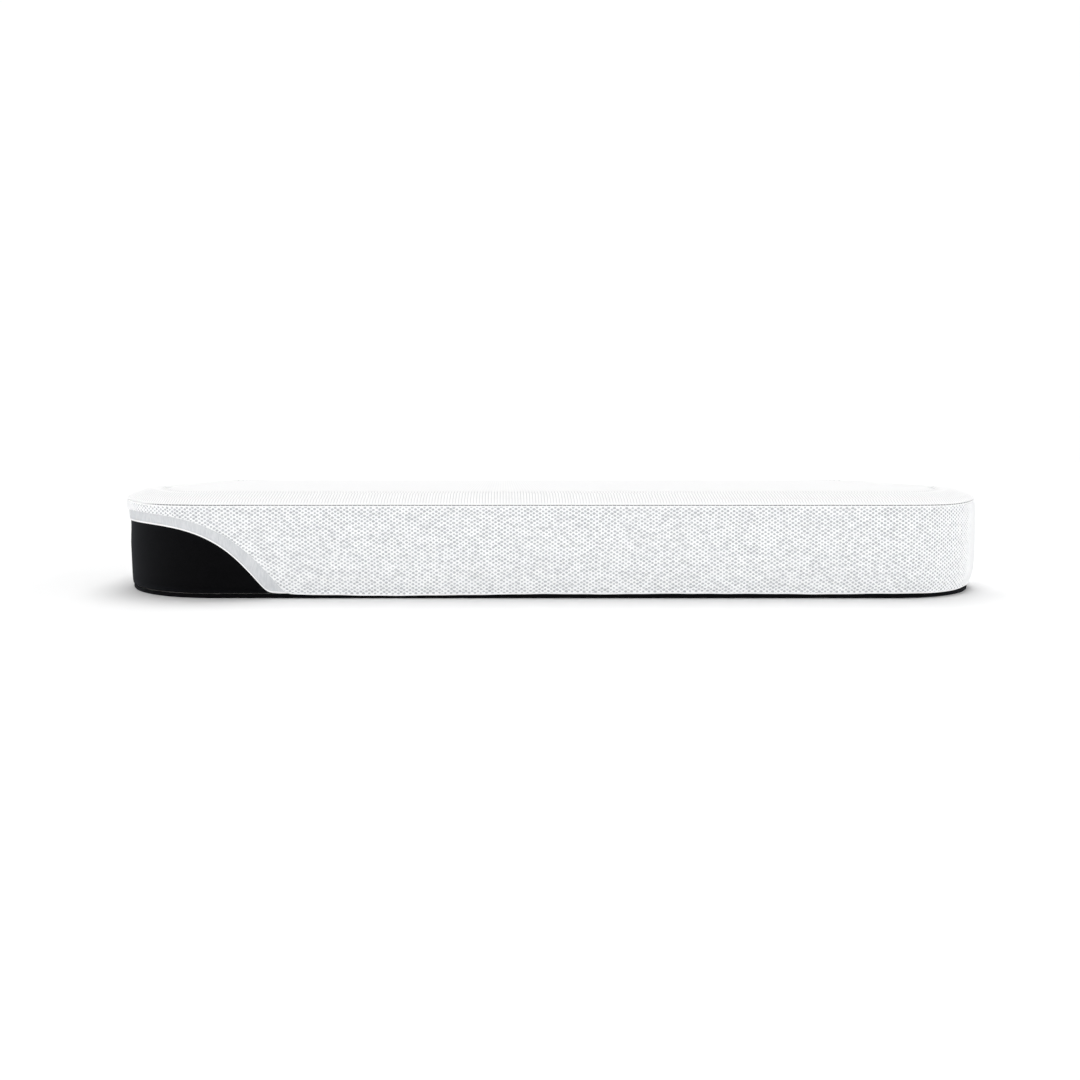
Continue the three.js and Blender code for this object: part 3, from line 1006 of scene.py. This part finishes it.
def overlocked_seam():
    """The thread that closes the top to the border, set back in the crease between them; its dark
    cord is painted shade.
    """
    along = all_round(BORDER_STEP)
    height = SEAM_HEIGHT + end_raise(along)
    cord = arc(EDGE_CORD_INSET, 0, EDGE_CORD_RADIUS, -180, 180, CORD_SIDES)[:-1]
    profile = [(inset, above + height) for inset, above in cord]
    piece = Piece("overlocked_edge_seam")
    piece.strip(ring(profile, along), 0, wrap_rows=True, wrap_columns=True)
    starts = stitch_starts(PERIMETER, EDGE_STITCH["pitch"])
    random = np.random.default_rng(11)
    starts = starts + random.uniform(-EDGE_STITCH_DRIFT, EDGE_STITCH_DRIFT, len(starts))
    share = np.linspace(0, 1, STITCH_POINTS)
    crossing = starts[:, None] + EDGE_STITCH["length"] * share
    height = SEAM_HEIGHT + end_raise(crossing) + EDGE_STITCH_RISE * (share - EDGE_STITCH_BELOW)
    inset = EDGE_STITCH["inset"] + EDGE_STITCH["sink"] * np.abs(2 * share - 1)
    thread(piece, on_outline(crossing, inset, height), EDGE_STITCH["radius"], material=1)
    return piece.build([SEAM_SHADE, WHITE_THREAD], "cover", ["edge_seam"])


def solid_between(piece, profile, along, centre_rows, material=0):
    """A closed body: a profile round the outline, with level caps at its top and bottom."""
    piece.strip(ring(profile, along), material, wrap_columns=True)
    for (inset, height), order in ((profile[0], 1), (profile[-1], -1)):
        loop = on_outline(along, inset, height)
        middle = loop.mean(axis=0)
        rows = [middle + (loop - middle) * share for share in centre_rows]
        piece.strip(np.stack(rows[::order]), material, wrap_columns=True)


def wadding():
    """The wadding quilted under the knit, pinched by the quilting line."""
    upper = [
        (inset, float(panel_height(0, inset - HALF_WIDTH)) - WADDING_DEPTH)
        for inset in WADDING_INSETS
    ]
    piece = Piece("quilt_wadding")
    solid_between(piece, WADDING_LOW + upper, all_round(WADDING_STEP), WADDING_RINGS)
    made = piece.build([WADDING], "cover", ["top_wadding"])
    return made


def flat_panel(name, node, body, cloth):
    """A thin panel of cloth that fills its CAD box and is cut to the outline."""
    low, high = (corner.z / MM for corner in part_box(node))
    inset = HALF_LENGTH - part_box(node)[1].x / MM
    rounded = inset + PANEL_EDGE_ROUND
    piece = Piece(name)
    profile = [(rounded, low), (inset, (low + high) / 2), (rounded, high)]
    solid_between(piece, profile, all_round(PANEL_STEP), PANEL_RINGS)
    made = piece.build([cloth], body, [node])
    return made


def backing():
    """The thin non-woven sheet under the wadding."""
    return flat_panel("quilt_backing", "top_backing", "cover", BACKING)


# ---- the core ----

def core_billow(along, height):
    """Slight unevenness of the liner's wall. It stands out only where the cover is drawn up."""
    uneven = 0.5 + waves(WALL_WAVES, along, height)
    drawn_in = WALL_UNEVENNESS * uneven * np.sin(math.pi * height / CORE_TOP)
    below_tape = HEM_HEIGHT + lifted(along, TAPE_LIFT) - height
    return drawn_in - BARE_CORE_BULGE * smooth(below_tape, *BARE_CORE_OVER)


def liner_wall():
    """The black wall of the core, tucked in a little above its seam."""
    along = all_round(CORE_STEP)
    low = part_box("liner_border")[0].z / MM
    heights = np.linspace(low, CORE_TOP, WALL_ROWS)
    tucked = WALL_TUCK * np.maximum(0, 1 - (heights - low) / WALL_TUCK_HEIGHT) ** 2
    outside = [
        (CORE_INSET + tuck + core_billow(along, height), height)
        for height, tuck in zip(heights, tucked)
    ]
    inside = [(inset + CLOTH_THICKNESS, height) for inset, height in outside[::-2]]
    piece = Piece("liner_wall")
    piece.strip(ring(outside + inside, along), 0, wrap_rows=True, wrap_columns=True)
    made = piece.build([LINER], "core", ["liner_border"])
    return made


def liner_top():
    """The liner's flat top, under the cover."""
    return flat_panel("liner_top", "liner_top_panel", "core", LINER)


def liner_base():
    """The underside, whose rim turns up round the foam's lower edge to the seam."""
    rim_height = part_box("liner_base_panel")[1].z / MM
    thick = CLOTH_THICKNESS
    outside = arc(BASE_RIM_INSET + BASE_ROUND, BASE_ROUND, BASE_ROUND, -90, 0, 5)
    outside.append((BASE_RIM_INSET, rim_height))
    inside = [(inset + thick, max(height, thick)) for inset, height in outside[::-1]]
    piece = Piece("liner_base")
    solid_between(piece, outside + inside, all_round(CORE_STEP), PANEL_RINGS)
    made = piece.build([LINER], "core", ["liner_base_panel"])
    return made


def liner_seam():
    """The seam between the liner's wall and its underside: close stitches over a cord."""
    starts = stitch_starts(PERIMETER, BASE_STITCH["pitch"])
    share = np.linspace(0, 1, BASE_STITCH["points"])
    along = starts[:, None] + BASE_STITCH["length"] * share
    height = sum(corner.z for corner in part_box("liner_base_seam")) / 2 / MM
    inset = HALF_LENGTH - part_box("liner_base_seam")[1].x / MM + BASE_STITCH["inset"]
    piece = Piece("liner_seam_stitches")
    cord = arc(inset + BASE_CORD["inset"], height, BASE_CORD["radius"], -180, 180, CORD_SIDES)
    piece.strip(ring(cord[:-1], all_round(CORE_STEP)), wrap_rows=True, wrap_columns=True)
    path = on_outline(along, inset, height + BASE_STITCH["rise"] * (share - 0.5))
    thread(piece, path, BASE_STITCH["radius"])
    return piece.build([LINER_THREAD], "core", ["liner_base_seam"])


def foam_block(name, node, foam_cells, base_round):
    """A foam layer cut square, with its arrises eased."""
    low, high = (corner.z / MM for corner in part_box(node))
    inset = HALF_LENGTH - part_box(node)[1].x / MM + FOAM_CLEARANCE
    top_round = FOAM_TOP_ROUND
    profile = arc(inset + base_round, low + base_round, base_round, -90, 0, 5)
    profile += arc(inset + top_round, high - top_round, top_round, 0, 90, 3)
    piece = Piece(name)
    solid_between(piece, profile, all_round(PANEL_STEP), FOAM_RINGS)
    made = piece.build([foam_cells], "core", [node])
    return made


# ---- floor and light ----

def stage_floor():
    """A white floor that runs far out of view."""
    bpy.ops.mesh.primitive_plane_add(size=FLOOR_SIZE)
    floor = bpy.context.object
    floor.name = "floor"
    floor.data.materials.append(white_floor())


def broad_light(name, power, azimuth, elevation, breadth):
    """Even light from all over a broad patch of sky. Azimuth 0 comes from the front side."""
    light = bpy.data.lights.new(name, "SUN")
    light.energy = power
    light.angle = math.radians(breadth)
    holder = bpy.data.objects.new(name, light)
    bpy.context.scene.collection.objects.link(holder)
    holder.rotation_euler = (math.radians(90 - elevation), 0, math.radians(azimuth))


def sky():
    """A white surround, dimmer overhead."""
    world = bpy.data.worlds.new("studio")
    bpy.context.scene.world = world
    world.use_nodes = True
    tree = world.node_tree
    background = tree.nodes["Background"]
    background.inputs["Color"].default_value = (1, 1, 1, 1)
    where = tree.nodes.new("ShaderNodeTexCoord")
    split = tree.nodes.new("ShaderNodeSeparateXYZ")
    fall = tree.nodes.new("ShaderNodeMapRange")
    fall.inputs["From Min"].default_value = math.sin(math.radians(SKY_WHITE_BELOW))
    fall.inputs["From Max"].default_value = math.sin(math.radians(SKY_DIM_ABOVE))
    fall.inputs["To Min"].default_value = SKY_WHITE
    fall.inputs["To Max"].default_value = SKY_DIM
    tree.links.new(where.outputs["Generated"], split.inputs["Vector"])
    tree.links.new(split.outputs["Z"], fall.inputs["Value"])
    tree.links.new(fall.outputs["Result"], background.inputs["Strength"])


def studio():
    """The floor, the surround and the lights."""
    stage_floor()
    sky()
    for name, (power, azimuth, elevation, breadth) in LIGHTS.items():
        broad_light(name, power, azimuth, elevation, breadth)
    bpy.context.scene.view_settings.view_transform = "Standard"


def camera():
    """A camera in front, a little to the left of the middle and tilted down."""
    data = bpy.data.cameras.new("camera")
    data.sensor_width = CAMERA_SENSOR
    data.lens = CAMERA_LENS
    data.shift_x = CAMERA_SHIFT
    data.clip_start, data.clip_end = CAMERA_CLIP
    holder = bpy.data.objects.new("camera", data)
    bpy.context.scene.collection.objects.link(holder)
    holder.location = CAMERA_PLACE
    holder.rotation_euler = (math.radians(90 - CAMERA_TILT), 0, 0)
    bpy.context.scene.camera = holder


KNIT = knit_cloth("knit_cloth", ribbed=False)
# The knit again, with deep painted shade in its rib valleys, for the rolled edge.
DEEP_RIB_SHADE_KNIT = knit_cloth("knit_cloth_deep_rib_shade", ribbed=True)
STRAND = mesh_strand()
HOLE = mesh_hole()
PLAIN = mesh_plain()
TAPE = elastic_tape()
BINDING = tape_binding()
LINER = liner_cloth()
LINER_THREAD = liner_thread()
WADDING = wadding_fibre()
BACKING = non_woven()
WHITE_THREAD = sewing_thread("white_thread", (0.85, 0.85, 0.85))
# Grey: painted shade on the white quilting thread in its dip.
SHADED_QUILT_THREAD = sewing_thread("quilt_thread_painted_shade", (0.62, 0.62, 0.63))
# Dark: painted shade in the crease of the edge seam.
SEAM_SHADE = sewing_thread("seam_shade", (0.2, 0.2, 0.21))
SUPPORT_FOAM = foam("support_foam_cells", (0.78, 0.76, 0.7), (0.86, 0.84, 0.79), 1.6)
MEMORY_FOAM = foam("memory_foam_cells", (0.88, 0.85, 0.76), (0.94, 0.91, 0.83), 0.9)

quilted_top()
quilting_stitches()
overlocked_seam()
wadding()
backing()
spacer_mesh("spacer_mesh_front", RIGHT_JOIN - PERIMETER + JOIN_GAP / 2, LEFT_JOIN - JOIN_GAP / 2,
            3, "mesh_border_front")
spacer_mesh("spacer_mesh_back", LEFT_JOIN + JOIN_GAP / 2, RIGHT_JOIN - JOIN_GAP / 2,
            5, "mesh_border_back")
hem_tape()
liner_wall()
liner_top()
liner_base()
liner_seam()
foam_block("support_foam_block", "support_foam", SUPPORT_FOAM, 8)
foam_block("memory_foam_block", "memory_foam_layer", MEMORY_FOAM, 2)
studio()
camera()
